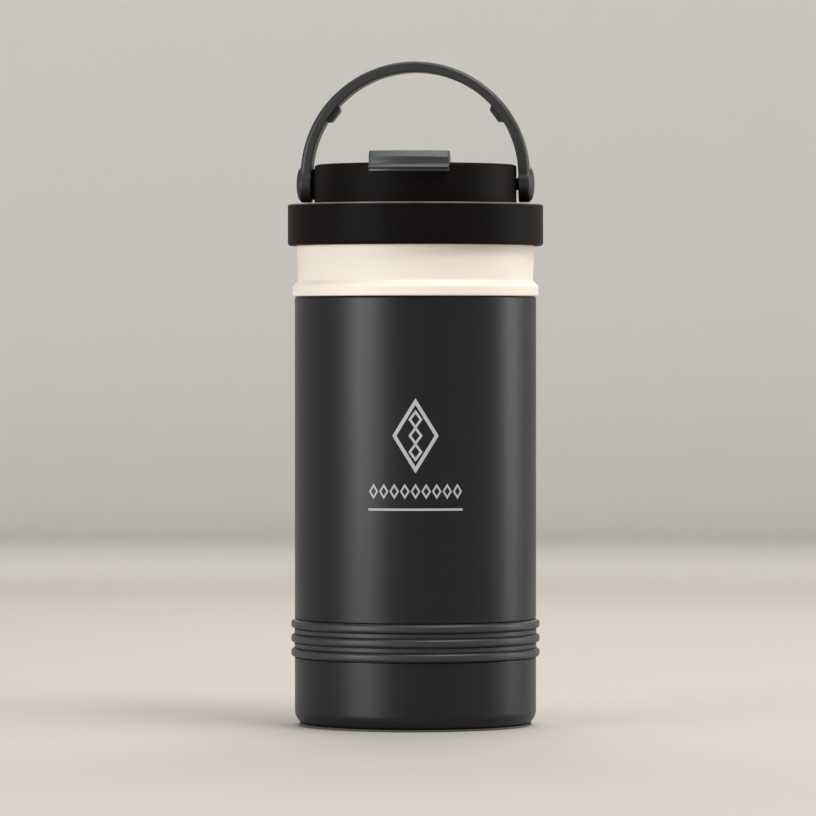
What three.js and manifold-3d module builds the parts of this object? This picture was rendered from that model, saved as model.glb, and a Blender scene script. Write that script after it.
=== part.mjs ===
// A vacuum flask in travel-mug form: steel double wall, cream neck, screw lid with a flip cover, bail handle.
// Millimetres, +Z up. The origin is the middle of the foot pad's underside; -Y is the drinking side.
import * as THREE from "three";
import { mergeVertices } from "three/addons/utils/BufferGeometryUtils.js";
import Module from "manifold-3d";

const wasm = await Module();
wasm.setup();

// ---- Driving dimensions -------------------------------------------------------------------------
const ROUND = 40; // sides of a large turned piece
const SMALL_ROUND = 16; // sides of a pin, bore or disc
const FIT = 0.05; // gap between pieces that are fixed together

const BODY_R = 38; // outer shell
const STEEL = 0.6; // wall of the shell and the liner
const FOOT_Z = 0.8; // underside of the shell's rolled foot
const FOOT_CORNER = 5.2; // radius of the foot's corner
const FOOT_CORNER_H = 4; // height at which that corner starts above the shell's underside
const SHOULDER_Z = 134.8; // top of the shell's shoulder, where the collar sits
const NECK_R = 35.1; // outside of the shell's neck
const MOUTH_Z = 159.3; // top of the rolled steel mouth
const LINER_R = 35; // inside of the cup
const BORE_R = 31.9; // inside of the mouth
const LINER_FLOOR_Z = 9.1; // inside floor of the cup
const LINER_SHOULDER_Z = 127.8; // where the cup begins to narrow towards the mouth
const BASE_PLATE_R = 34.3;
const PAD_R = 36.5;
const DIMPLE_RISE = 1.6; // depth of the dimple in the base plate
const FOOT_OPENING_R = 32.4; // inside of the shell's rolled foot

const BAND_Z = 27.4; // middle of the grip band
const BAND_H = 11.6;
const BAND_DEPTH = 1; // groove in the shell
const RIB_COUNT = 3;
const RIB_PITCH = 4.46;
const RIB_W = 2.66;
const RIB_R = 39.1;
const VALLEY_R = 38.1;

const COLLAR_FLANGE_R = 38.7;
const COLLAR_FLANGE_TOP = 139.5;
const COLLAR_STEP_Z = 152; // the wall steps in here to the threaded part
const COLLAR_LOW_R = 36.95;
const COLLAR_HIGH_R = 37.5;
const COLLAR_THREAD_R = 36.6;
const COLLAR_TOP = 159;

const THREAD_STARTS = 2;
const THREAD_LEAD = 8; // rise in one turn
const THREAD_HEIGHT = 1;
const THREAD_W = 1.4;
const THREAD_Z = 153.7; // height of the collar's first ridge at angle 0

const SKIRT_R = 40.2;
const SKIRT_BORE_R = 38;
const SKIRT_Z = 150.7;
const SKIRT_TOP = 163.8;
const SKIRT_ROOF_Z = 161.7; // underside of the step between skirt and drum
const DRUM_R = 31.8;
const DRUM_BORE_R = 29.8;
const DRUM_TOP = 176.2;
const LEDGE_R = 27.6; // ledge inside the drum that the deck rests on
const LEDGE_Z = 173.9;
const DECK_TOP = 175.8;
const PLUG_R = 31.2;
const PLUG_Z = 146.8;
const PLUG_WALL = 1.8;
const PLUG_SPIGOT_TOP = 164.8;

const SPOUT_Y = -21;
const SPOUT_W = 12;
const SPOUT_D = 8;
const VENT_X = 9.6;
const VENT_R = 1.2;

const HINGE_Y = -11;
const HINGE_Z = 177.6;
const HINGE_PIN_R = 1;
const KNUCKLE_R = 1.7;
const KNUCKLE_HALF = 8.2;
const EAR_IN = 8.5;
const EAR_OUT = 10.7;
const EAR_R = 1.9;
const TAB_HALF = 12.5; // half the width of the thumb tab
const TAB_LOW = 173.3;
const TAB_TOP = 179.9;
const TAB_ROUND = 1.8; // rounding of the tab's top
const TAB_ROUND_R = 30.5; // how far out the middle of that rounding is
const TAB_SIDES = 112; // sides of the ring that the tab is cut from
const FLAP_HALF = 11.6; // half the width of the flap's plate
const FLAP_LOW = 176.5;
const FLAP_HIGH = 178.7;

const PIVOT_Z = 170.1;
const ARCH_Z = 172.7; // centre of the bail's arch
const ARCH_OUT = 36;
const ARCH_IN = 32.6;
const BAIL_W = 10;
const BAIL_EDGE = 0.9; // rounding of the bail's edges
const LUG_ANGLE = 37; // degrees above the horizontal
const LUG_HALF = 4.3; // degrees
const LUG_R = 31.2;
const DISC_R = 5.7;
const PIVOT_PIN_R = 1.2;
const PIVOT_HEAD_R = 2.9;
const DETENT_R = 4.9;
const WASHER_R = 1.95;

// ---- Shape helpers ------------------------------------------------------------------------------
const pt = (x, y) => new THREE.Vector2(x, y);
const radians = THREE.MathUtils.degToRad;
const degrees = THREE.MathUtils.radToDeg;

// Points of a round stretch of an outline, between two angles in degrees.
function arc(x, y, radius, from, to, steps = 3) {
  const points = [];
  for (let i = 0; i <= steps; i++) {
    const angle = radians(from + ((to - from) * i) / steps);
    points.push(pt(x + radius * Math.cos(angle), y + radius * Math.sin(angle)));
  }
  return points;
}

// A turned piece about Z from a profile of (radius, height), which closes on itself or ends on the axis.
function turn(profile, sides = ROUND) {
  const first = profile[0];
  const last = profile[profile.length - 1];
  const points = first.x === 0 && last.x === 0 ? profile : [...profile, first.clone()];
  return new THREE.LatheGeometry(points, sides).rotateX(Math.PI / 2);
}

// A turned piece about X, towards +X (side 1) or -X (side -1).
function turnAlongX(profile, side) {
  return turn(profile, SMALL_ROUND).rotateY((side * Math.PI) / 2);
}

function block(xMin, xMax, yMin, yMax, zMin, zMax) {
  const box = new THREE.BoxGeometry(xMax - xMin, yMax - yMin, zMax - zMin);
  return box.translate((xMin + xMax) / 2, (yMin + yMax) / 2, (zMin + zMax) / 2);
}

// An upright prism with half-round ends between two heights.
function stadium(xMin, xMax, y, depth, zMin, zMax) {
  const radius = depth / 2;
  const outline = [
    ...arc(xMax - radius, y, radius, -90, 90, 6),
    ...arc(xMin + radius, y, radius, 90, 270, 6),
  ];
  const options = { depth: zMax - zMin, bevelEnabled: false };
  return new THREE.ExtrudeGeometry(new THREE.Shape(outline), options).translate(0, 0, zMin);
}

function rodAlongZ(x, y, radius, zMin, zMax) {
  const rod = turn([pt(0, zMin), pt(radius, zMin), pt(radius, zMax), pt(0, zMax)], SMALL_ROUND);
  return rod.translate(x, y, 0);
}

function rodAlongX(radius, from, to, side, y, z) {
  const rod = turnAlongX([pt(0, from), pt(radius, from), pt(radius, to), pt(0, to)], side);
  return rod.translate(0, y, z);
}

// A closed geometry as a solid that can be joined or cut.
function solid(geometry) {
  const bare = geometry.clone();
  bare.deleteAttribute("normal");
  bare.deleteAttribute("uv");
  const merged = mergeVertices(bare, 1e-4);
  const mesh = new wasm.Mesh({
    numProp: 3,
    vertProperties: merged.attributes.position.array,
    triVerts: new Uint32Array(merged.index.array),
  });
  return new wasm.Manifold(mesh);
}

const join = (...geometries) => geometries.map(solid).reduce((whole, next) => whole.add(next));

function cut(body, ...tools) {
  return tools.map(solid).reduce((whole, tool) => whole.subtract(tool), body);
}

function geometryOf(body) {
  const mesh = body.getMesh();
  const geometry = new THREE.BufferGeometry();
  geometry.setAttribute("position", new THREE.BufferAttribute(mesh.vertProperties, 3));
  geometry.setIndex(new THREE.BufferAttribute(mesh.triVerts, 1));
  geometry.computeVertexNormals();
  return geometry;
}

// One helical ridge: a straight bar of the ridge's section, bent round the axis and lifted as it goes.
function threadRidge(rootR, outward, fromDeg, toDeg, zAtZero) {
  const root = -outward * 0.3;
  const crest = outward * THREAD_HEIGHT;
  const half = THREAD_W / 2;
  const section = [pt(root, -half), pt(crest, -half * 0.6), pt(crest, half * 0.6), pt(root, half)];
  if (outward < 0) section.reverse();
  const length = toDeg - fromDeg;
  const options = { depth: length, steps: Math.ceil(length / 16), bevelEnabled: false };
  const bar = new THREE.ExtrudeGeometry(new THREE.Shape(section), options);
  const position = bar.getAttribute("position");
  for (let i = 0; i < position.count; i++) {
    const along = toDeg - position.getZ(i);
    const radius = rootR + position.getX(i);
    const height = zAtZero + position.getY(i) + (THREAD_LEAD * along) / 360;
    const angle = radians(along);
    position.setXYZ(i, radius * Math.cos(angle), radius * Math.sin(angle), height);
  }
  return bar;
}

function threadRidges(rootR, outward, fromDeg, toDeg, zAtZero) {
  const ridges = [];
  for (let start = 0; start < THREAD_STARTS; start++) {
    const ridge = threadRidge(rootR, outward, fromDeg, toDeg, zAtZero);
    ridges.push(ridge.rotateZ((start * 2 * Math.PI) / THREAD_STARTS));
  }
  return ridges;
}

// ---- Double-walled body -------------------------------------------------------------------------
function outerShell() {
  const inner = BODY_R - STEEL;
  const cornerR = BODY_R - FOOT_CORNER;
  const cornerZ = FOOT_Z + FOOT_CORNER_H;
  const innerCorner = FOOT_CORNER - STEEL;
  const turnUnder = degrees(Math.asin(FOOT_CORNER_H / FOOT_CORNER));
  const innerTurnUnder = degrees(Math.asin((FOOT_CORNER_H - STEEL) / innerCorner));
  const grooveR = BODY_R - BAND_DEPTH;
  const grooveLow = BAND_Z - BAND_H / 2;
  const grooveHigh = BAND_Z + BAND_H / 2;
  const neckIn = NECK_R - STEEL;
  return turn([
    pt(FOOT_OPENING_R, FOOT_Z),
    ...arc(cornerR, cornerZ, FOOT_CORNER, -turnUnder, 0, 4),
    pt(BODY_R, grooveLow - 0.3),
    pt(grooveR, grooveLow - 0.1),
    pt(grooveR, grooveHigh + 0.1),
    pt(BODY_R, grooveHigh + 0.3),
    ...arc(BODY_R - 0.8, SHOULDER_Z - 0.8, 0.8, 0, 90, 2),
    pt(NECK_R, SHOULDER_Z),
    pt(NECK_R, MOUTH_Z - STEEL - 0.1),
    pt(neckIn, MOUTH_Z - STEEL - 0.1),
    pt(neckIn, SHOULDER_Z - STEEL),
    pt(inner - 0.6, SHOULDER_Z - STEEL),
    pt(inner, SHOULDER_Z - 2 * STEEL),
    pt(inner, grooveHigh + 0.8),
    pt(grooveR - STEEL, grooveHigh + 0.5),
    pt(grooveR - STEEL, grooveLow - 0.5),
    pt(inner, grooveLow - 0.8),
    ...arc(cornerR, cornerZ, innerCorner, 0, -innerTurnUnder, 2),
    pt(FOOT_OPENING_R, FOOT_Z + STEEL),
  ]);
}

function innerLiner() {
  const outR = LINER_R + STEEL;
  const neckOut = BORE_R + STEEL;
  return turn([
    pt(0, LINER_FLOOR_Z - STEEL),
    ...arc(outR - 6, LINER_FLOOR_Z - STEEL + 6, 6, -90, 0, 2),
    pt(outR, LINER_SHOULDER_Z + 0.2),
    pt(neckOut, LINER_SHOULDER_Z + 5.2),
    ...arc(neckOut + 1.4, MOUTH_Z - STEEL - 1.4, 1.4, 180, 90, 2),
    pt(NECK_R, MOUTH_Z - STEEL),
    pt(NECK_R, MOUTH_Z),
    ...arc(BORE_R + 2, MOUTH_Z - 2, 2, 90, 180, 2),
    pt(BORE_R, LINER_SHOULDER_Z + 5),
    pt(LINER_R, LINER_SHOULDER_Z),
    ...arc(LINER_R - 5.4, LINER_FLOOR_Z + 5.4, 5.4, 0, -90, 2),
    pt(0, LINER_FLOOR_Z),
  ]);
}

// The welded bottom disc, with a dimple in the middle and the evacuation hole through it.
function basePlate() {
  const low = FOOT_Z + STEEL + 0.1;
  const dimple = low + DIMPLE_RISE;
  return turn([
    pt(1.2, dimple),
    pt(5, dimple),
    pt(8, low),
    pt(BASE_PLATE_R, low),
    pt(BASE_PLATE_R, low + STEEL),
    pt(8.4, low + STEEL),
    pt(5.2, dimple + STEEL),
    pt(1.2, dimple + STEEL),
  ]);
}

function vacuumSeal() {
  const top = FOOT_Z + STEEL + DIMPLE_RISE + 0.05;
  const bead = [pt(0, top - 1.2), pt(2.4, top - 1), pt(3, top - 0.5), pt(3, top), pt(0, top)];
  return turn(bead, SMALL_ROUND);
}

const getter = () => rodAlongZ(14, 0, 5, LINER_FLOOR_Z - STEEL - 1.6, LINER_FLOOR_Z - STEEL - 0.1);

function footPad() {
  const rimTop = FOOT_Z - 0.2;
  const rootR = FOOT_OPENING_R - 0.2;
  return turn([
    pt(0, 0),
    pt(PAD_R - 0.2, 0),
    pt(PAD_R, 0.2),
    pt(PAD_R, rimTop),
    pt(rootR, rimTop),
    pt(rootR, FOOT_Z + STEEL),
    pt(0, FOOT_Z + STEEL),
  ]);
}

function gripBand() {
  const low = BAND_Z - BAND_H / 2;
  const high = BAND_Z + BAND_H / 2;
  const back = BODY_R - BAND_DEPTH + FIT;
  const firstRib = BAND_Z - (RIB_PITCH * (RIB_COUNT - 1)) / 2;
  const profile = [pt(back, low)];
  for (let i = 0; i < RIB_COUNT; i++) {
    const middle = firstRib + i * RIB_PITCH;
    profile.push(
      pt(VALLEY_R, middle - RIB_W / 2),
      pt(RIB_R, middle - RIB_W / 2 + 0.55),
      pt(RIB_R, middle + RIB_W / 2 - 0.55),
      pt(VALLEY_R, middle + RIB_W / 2),
    );
  }
  profile.push(pt(back, high));
  return turn(profile);
}

function neckCollar() {
  const back = NECK_R + 0.1;
  const wall = turn([
    pt(back, SHOULDER_Z + FIT),
    pt(38.3, SHOULDER_Z + FIT),
    pt(COLLAR_FLANGE_R, SHOULDER_Z + 0.5),
    pt(COLLAR_FLANGE_R, COLLAR_FLANGE_TOP - 1.7),
    pt(COLLAR_FLANGE_R - 0.3, COLLAR_FLANGE_TOP - 1.1),
    pt(COLLAR_LOW_R + 0.3, COLLAR_FLANGE_TOP - 0.3),
    pt(COLLAR_LOW_R, COLLAR_FLANGE_TOP + 0.3),
    pt(COLLAR_HIGH_R, COLLAR_STEP_Z - 0.3),
    pt(COLLAR_HIGH_R, COLLAR_STEP_Z),
    pt(COLLAR_THREAD_R, COLLAR_STEP_Z + 0.3),
    pt(COLLAR_THREAD_R, COLLAR_TOP - 0.4),
    pt(COLLAR_THREAD_R - 0.4, COLLAR_TOP),
    pt(back, COLLAR_TOP),
  ]);
  return geometryOf(join(wall, ...threadRidges(COLLAR_THREAD_R, 1, 0, 192, THREAD_Z)));
}

// ---- Screw lid ----------------------------------------------------------------------------------
function lidGasket() {
  const inner = BORE_R + 0.3;
  const outer = NECK_R + 0.5;
  const low = MOUTH_Z + 0.1;
  const high = SKIRT_ROOF_Z - 0.1;
  return turn([pt(inner, low), pt(outer, low), pt(outer, high), pt(inner, high)]);
}

// Skirt and drum in one moulding, with the inner thread and a boss for each pivot pin.
function lidShell() {
  const wall = turn([
    pt(SKIRT_BORE_R, SKIRT_Z + 0.3),
    pt(SKIRT_BORE_R + 0.3, SKIRT_Z),
    ...arc(SKIRT_R - 1, SKIRT_Z + 1, 1, -90, 0, 2),
    ...arc(SKIRT_R - 0.6, SKIRT_TOP - 0.6, 0.6, 0, 90, 2),
    pt(DRUM_R, SKIRT_TOP),
    ...arc(DRUM_R - 1, DRUM_TOP - 1, 1, 0, 90, 2),
    pt(DRUM_BORE_R, DRUM_TOP),
    pt(DRUM_BORE_R, LEDGE_Z),
    pt(LEDGE_R, LEDGE_Z),
    pt(LEDGE_R, LEDGE_Z - 1),
    pt(DRUM_BORE_R, LEDGE_Z - 2.2),
    pt(DRUM_BORE_R, SKIRT_ROOF_Z),
    pt(SKIRT_BORE_R, SKIRT_ROOF_Z),
  ]);
  const ridges = threadRidges(SKIRT_BORE_R, -1, -112, 175, THREAD_Z + THREAD_LEAD / 4);
  const bosses = [1, -1].map((side) => rodAlongX(3.4, 26, 30.6, side, 0, PIVOT_Z));
  const bores = [1, -1].map((side) => rodAlongX(PIVOT_PIN_R + FIT, 26.8, 34, side, 0, PIVOT_Z));
  return geometryOf(cut(join(wall, ...ridges, ...bosses), ...bores));
}

// The drum's top, with the drink hole, the vent hole and two ears for the flap's pin.
function lidDeck() {
  const low = LEDGE_Z + 0.1;
  const radius = DRUM_BORE_R - 0.1;
  const disc = turn([pt(0, low), pt(radius, low), pt(radius, DECK_TOP), pt(0, DECK_TOP)]);
  const ears = [1, -1].flatMap((side) => {
    const xMin = Math.min(side * EAR_IN, side * EAR_OUT);
    const xMax = Math.max(side * EAR_IN, side * EAR_OUT);
    const foot = block(xMin, xMax, HINGE_Y - EAR_R, HINGE_Y + EAR_R, DECK_TOP - 0.5, HINGE_Z);
    return [foot, rodAlongX(EAR_R, EAR_IN, EAR_OUT, side, HINGE_Y, HINGE_Z)];
  });
  const pinBores = [1, -1].map((side) =>
    rodAlongX(HINGE_PIN_R + FIT, EAR_IN - 1, EAR_OUT + 1, side, HINGE_Y, HINGE_Z),
  );
  const drinkHole = stadium(-SPOUT_W / 2, SPOUT_W / 2, SPOUT_Y, SPOUT_D, low - 1, DECK_TOP + 1);
  const ventHole = rodAlongZ(VENT_X, SPOUT_Y, VENT_R, low - 1, DECK_TOP + 1);
  return geometryOf(cut(join(disc, ...ears), ...pinBores, drinkHole, ventHole));
}

// The insulating plug: a cup that enters the mouth, with the drink and vent channels up to the deck.
function lidPlug() {
  const inner = PLUG_R - PLUG_WALL;
  const cup = turn([
    pt(0, PLUG_Z),
    pt(PLUG_R - 1.2, PLUG_Z),
    pt(PLUG_R, PLUG_Z + 1.2),
    pt(PLUG_R, SKIRT_ROOF_Z - 0.1),
    pt(DRUM_BORE_R - 0.2, SKIRT_ROOF_Z - 0.1),
    pt(DRUM_BORE_R - 0.2, PLUG_SPIGOT_TOP),
    pt(inner - 1, PLUG_SPIGOT_TOP),
    pt(inner - 1, SKIRT_ROOF_Z - 2),
    pt(inner, SKIRT_ROOF_Z - 3),
    pt(inner, PLUG_Z + PLUG_WALL),
    pt(0, PLUG_Z + PLUG_WALL),
  ]);
  const towerLeft = -SPOUT_W / 2 - 1.3;
  const towerRight = VENT_X + VENT_R + 1.2;
  const tower = stadium(towerLeft, towerRight, SPOUT_Y, SPOUT_D + 2.6, PLUG_Z + 0.5, LEDGE_Z);
  const drink = stadium(-SPOUT_W / 2, SPOUT_W / 2, SPOUT_Y, SPOUT_D, PLUG_Z - 1, LEDGE_Z + 1);
  const vent = rodAlongZ(VENT_X, SPOUT_Y, VENT_R, PLUG_Z - 1, LEDGE_Z + 1);
  return geometryOf(cut(join(cup, tower), drink, vent));
}

// ---- Flip cover ---------------------------------------------------------------------------------
// The plate lies on the drum; the tab at its front stands up, and its ledge and lip hang over the drum.
function drinkFlap() {
  const tabRing = turn([
    pt(26, FLAP_LOW),
    pt(32.15, FLAP_LOW),
    pt(32.2, TAB_LOW),
    pt(33.3, TAB_LOW),
    pt(33.5, TAB_LOW + 0.2),
    pt(33.5, TAB_LOW + 0.8),
    pt(33.1, TAB_LOW + 1),
    pt(34.1, TAB_LOW + 1.2),
    pt(34, TAB_LOW + 1.5),
    pt(33, TAB_LOW + 2.4),
    pt(32.35, TAB_LOW + 3.3),
    ...arc(TAB_ROUND_R, TAB_TOP - TAB_ROUND, TAB_ROUND, 0, 90, 3),
    pt(29.6, TAB_TOP),
    pt(27.8, FLAP_HIGH),
    pt(26, FLAP_HIGH),
  ], TAB_SIDES);
  const window = block(-TAB_HALF, TAB_HALF, -SKIRT_R, -22, TAB_LOW - 1, TAB_TOP + 1);
  const tab = solid(tabRing).intersect(solid(window));
  const plate = block(-FLAP_HALF, FLAP_HALF, -28, HINGE_Y - 2.6, FLAP_LOW, FLAP_HIGH);
  const neck = block(-KNUCKLE_HALF, KNUCKLE_HALF, HINGE_Y - 3, HINGE_Y, FLAP_LOW, FLAP_HIGH);
  const knuckle = rodAlongX(KNUCKLE_R, -KNUCKLE_HALF, KNUCKLE_HALF, 1, HINGE_Y, HINGE_Z);
  const bore = rodAlongX(HINGE_PIN_R + 0.1, -EAR_OUT, EAR_OUT, 1, HINGE_Y, HINGE_Z);
  return geometryOf(cut(tab.add(join(plate, neck, knuckle)), bore));
}

const flapHingePin = () => {
  const half = EAR_OUT - 0.1;
  return rodAlongX(HINGE_PIN_R, -half, half, 1, HINGE_Y, HINGE_Z);
};

function spoutStopper() {
  const head = stadium(-7.4, 7.4, SPOUT_Y, 10.8, DECK_TOP + FIT, FLAP_LOW - FIT);
  const plug = stadium(-5.5, 5.5, SPOUT_Y, SPOUT_D - 1, DECK_TOP - 1.4, DECK_TOP + 0.3);
  return geometryOf(join(head, plug));
}

function ventStopper() {
  const head = rodAlongZ(VENT_X, SPOUT_Y, 1.9, DECK_TOP + FIT, FLAP_LOW - FIT);
  const plug = rodAlongZ(VENT_X, SPOUT_Y, 0.8, DECK_TOP - 1, DECK_TOP + 0.3);
  return geometryOf(join(head, plug));
}

// ---- Bail handle --------------------------------------------------------------------------------
// The arch seen from the front: outer and inner arcs, with a lug on the inner one at each side.
function archOutline() {
  const lug = (middle) => arc(0, ARCH_Z, LUG_R, middle + LUG_HALF, middle - LUG_HALF, 2);
  const highEdge = LUG_ANGLE + LUG_HALF + 1.2;
  const lowEdge = LUG_ANGLE - LUG_HALF - 1.2;
  return new THREE.Shape([
    pt(ARCH_OUT, PIVOT_Z),
    ...arc(0, ARCH_Z, ARCH_OUT, 0, 180, 26),
    pt(-ARCH_OUT, PIVOT_Z),
    pt(-ARCH_IN, PIVOT_Z),
    ...arc(0, ARCH_Z, ARCH_IN, 180, 180 - lowEdge, 4),
    ...lug(180 - LUG_ANGLE),
    ...arc(0, ARCH_Z, ARCH_IN, 180 - highEdge, highEdge, 12),
    ...lug(LUG_ANGLE),
    ...arc(0, ARCH_Z, ARCH_IN, lowEdge, 0, 4),
    pt(ARCH_IN, PIVOT_Z),
  ]);
}

function bailDisc(side) {
  const disc = turnAlongX([
    pt(0, ARCH_IN),
    pt(DISC_R - 0.2, ARCH_IN),
    pt(DISC_R, ARCH_IN + 0.2),
    pt(DISC_R, 35.4),
    pt(5.3, 36.3),
    pt(4.4, 36.95),
    pt(3.3, 37.25),
    pt(0, 37.25),
  ], side);
  return disc.translate(0, 0, PIVOT_Z);
}

function handleBail() {
  const arch = new THREE.ExtrudeGeometry(archOutline(), {
    depth: BAIL_W - 2 * BAIL_EDGE,
    bevelEnabled: true,
    bevelThickness: BAIL_EDGE,
    bevelSize: BAIL_EDGE,
    bevelOffset: -BAIL_EDGE,
    bevelSegments: 1,
  });
  arch.rotateX(Math.PI / 2).translate(0, BAIL_W / 2 - BAIL_EDGE, 0);
  const sides = [1, -1];
  const bores = sides.map((side) => rodAlongX(PIVOT_PIN_R + 0.15, 30, 36, side, 0, PIVOT_Z));
  const pockets = sides.map((side) => rodAlongX(3.3, 35, 39, side, 0, PIVOT_Z));
  return geometryOf(cut(join(arch, ...sides.map(bailDisc)), ...bores, ...pockets));
}

function pivotPin(side) {
  const pin = turnAlongX([
    pt(0, 27),
    pt(PIVOT_PIN_R, 27),
    pt(PIVOT_PIN_R, 35.15),
    pt(PIVOT_HEAD_R, 35.15),
    pt(PIVOT_HEAD_R, 36.1),
    pt(0, 36.1),
  ], side);
  return pin.translate(0, 0, PIVOT_Z);
}

// A spacer ring between the drum and a disc; the left one is the broad detent that holds the bail up.
function spacer(side, radius) {
  const bore = PIVOT_PIN_R + 0.1;
  const ring = turnAlongX([pt(bore, 31.9), pt(radius, 31.9), pt(radius, 32.4), pt(bore, 32.4)], side);
  return ring.translate(0, 0, PIVOT_Z);
}

function pivotCap(side) {
  const cap = turnAlongX([pt(0, 36.4), pt(3.2, 36.4), pt(3.2, 37.2), pt(2.2, 37.5), pt(0, 37.6)], side);
  return cap.translate(0, 0, PIVOT_Z);
}

// ---- Materials and assembly ---------------------------------------------------------------------
const FINISHES = {
  shellBlack: { color: "#232426", roughness: 0.45, metalness: 0.2 },
  steel: { color: "#b9bbbd", roughness: 0.3, metalness: 1 },
  creamPlastic: { color: "#f2e9dc", roughness: 0.5, metalness: 0 },
  lidBlack: { color: "#141313", roughness: 0.6, metalness: 0 },
  flapGrey: { color: "#4a4b4c", roughness: 0.55, metalness: 0 },
  bailCharcoal: { color: "#393a3c", roughness: 0.55, metalness: 0 },
  blackSilicone: { color: "#2a2b2c", roughness: 0.7, metalness: 0 },
  clearSilicone: { color: "#d9d9d4", roughness: 0.6, metalness: 0 },
  sealGlass: { color: "#6d6a58", roughness: 0.4, metalness: 0 },
  getterMetal: { color: "#7c7a76", roughness: 0.7, metalness: 0.6 },
};

function piece(name, geometry, finish) {
  const mesh = new THREE.Mesh(geometry, new THREE.MeshStandardMaterial(FINISHES[finish]));
  mesh.name = name;
  return mesh;
}

const mug = new THREE.Group().add(
  piece("outer_shell", outerShell(), "shellBlack"),
  piece("inner_liner", innerLiner(), "steel"),
  piece("base_plate", basePlate(), "steel"),
  piece("vacuum_seal", vacuumSeal(), "sealGlass"),
  piece("getter", getter(), "getterMetal"),
  piece("foot_pad", footPad(), "blackSilicone"),
  piece("grip_band", gripBand(), "blackSilicone"),
  piece("neck_collar", neckCollar(), "creamPlastic"),
);

const lid = new THREE.Group().add(
  piece("lid_gasket", lidGasket(), "clearSilicone"),
  piece("lid_shell", lidShell(), "lidBlack"),
  piece("lid_deck", lidDeck(), "lidBlack"),
  piece("lid_plug", lidPlug(), "lidBlack"),
  piece("flap_hinge_pin", flapHingePin(), "steel"),
);

const flap = new THREE.Group().add(
  piece("drink_flap", drinkFlap(), "flapGrey"),
  piece("spout_stopper", spoutStopper(), "clearSilicone"),
  piece("vent_stopper", ventStopper(), "clearSilicone"),
);

const handle = new THREE.Group().add(piece("handle_bail", handleBail(), "bailCharcoal"));

for (const [label, side] of [["left", -1], ["right", 1]]) {
  lid.add(piece(`pivot_pin_${label}`, pivotPin(side), "steel"));
  handle.add(piece(`pivot_cap_${label}`, pivotCap(side), "bailCharcoal"));
}
lid.add(piece("detent_washer", spacer(-1, DETENT_R), "lidBlack"));
lid.add(piece("pivot_washer", spacer(1, WASHER_R), "lidBlack"));

export default new THREE.Group().add(mug, lid, flap, handle);
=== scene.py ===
import cmath
import math

import bpy
from mathutils import Matrix, Vector


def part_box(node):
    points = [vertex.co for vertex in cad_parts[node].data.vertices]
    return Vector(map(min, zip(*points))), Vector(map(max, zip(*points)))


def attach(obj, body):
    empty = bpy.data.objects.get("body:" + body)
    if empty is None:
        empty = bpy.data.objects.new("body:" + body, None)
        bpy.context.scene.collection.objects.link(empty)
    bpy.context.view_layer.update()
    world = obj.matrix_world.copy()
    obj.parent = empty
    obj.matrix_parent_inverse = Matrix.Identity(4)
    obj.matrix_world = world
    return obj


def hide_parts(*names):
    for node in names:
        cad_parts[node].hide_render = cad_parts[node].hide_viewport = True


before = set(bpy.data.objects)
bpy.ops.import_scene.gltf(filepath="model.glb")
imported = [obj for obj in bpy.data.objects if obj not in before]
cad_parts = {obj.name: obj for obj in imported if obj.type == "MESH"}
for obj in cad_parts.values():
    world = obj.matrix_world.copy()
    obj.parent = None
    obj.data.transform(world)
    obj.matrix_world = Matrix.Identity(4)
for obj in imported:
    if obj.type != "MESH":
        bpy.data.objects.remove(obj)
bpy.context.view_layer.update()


# ---- Steel cup ------------------------------------------------------------------------------------
# A deep-drawn stainless liner, brushed inside, with its mouth rolled outwards over the neck and welded.
# The whole mouth is one smooth flare, so it is turned from a profile of straight runs and fillets.
def span(node):
    """The lowest and highest corners of a CAD node, in millimetres."""
    low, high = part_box(node)
    return low * 1000, high * 1000


def rounded(corners, steps=6):
    """Outline points through (x, y, fillet) corners, with a short straight run beside each fillet."""
    points = [complex(x, y) for x, y, _ in corners]
    outline = []
    for i, (_, _, fillet) in enumerate(corners):
        here = points[i]
        if not fillet:
            outline.append(here)
            continue
        back = points[i - 1] - here
        ahead = points[(i + 1) % len(points)] - here
        back, ahead = back / abs(back), ahead / abs(ahead)
        half = abs(cmath.phase(ahead / back)) / 2
        middle = here + (back + ahead) / abs(back + ahead) * fillet / math.sin(half)
        start = here + back * fillet / math.tan(half)
        end = here + ahead * fillet / math.tan(half)
        sweep = cmath.phase((end - middle) / (start - middle))
        outline.append(start + back * fillet * 0.12)
        outline += [middle + (start - middle) * cmath.exp(1j * sweep * k / steps) for k in range(steps + 1)]
        outline.append(end + ahead * fillet * 0.12)
    return outline


SHARP_EDGE = math.radians(40)  # shading breaks across edges that turn more than this


def solid(name, verts, faces):
    """A mesh object from points in millimetres, smooth except across its sharp edges."""
    mesh = bpy.data.meshes.new(name)
    mesh.from_pydata([Vector(v) / 1000 for v in verts], [], faces)
    mesh.polygons.foreach_set("use_smooth", [True] * len(mesh.polygons))
    mesh.set_sharp_from_angle(angle=SHARP_EDGE)
    piece = bpy.data.objects.new(name, mesh)
    bpy.context.scene.collection.objects.link(piece)
    return piece


def turned(name, outline, sides=160, along=None):
    """A closed outline of (radius, height) turned about Z, or about the X axis of the matrix given."""
    verts, rings, faces = [], [], []
    for point in outline:
        count = sides if point.real > 1e-6 else 1
        rings.append(range(len(verts), len(verts) + count))
        for k in range(count):
            angle = math.tau * k / sides
            verts.append((point.real * math.cos(angle), point.real * math.sin(angle), point.imag))
    for i, low in enumerate(rings):
        high = rings[(i + 1) % len(rings)]
        if len(low) == 1 and len(high) == 1:
            continue
        for k in range(sides):
            after = (k + 1) % sides
            corners = [low[k % len(low)], low[after % len(low)], high[after % len(high)], high[k % len(high)]]
            faces.append(list(dict.fromkeys(corners)))
    if along:
        verts = [along @ Vector(v) for v in verts]
    return solid(name, verts, faces)


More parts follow.
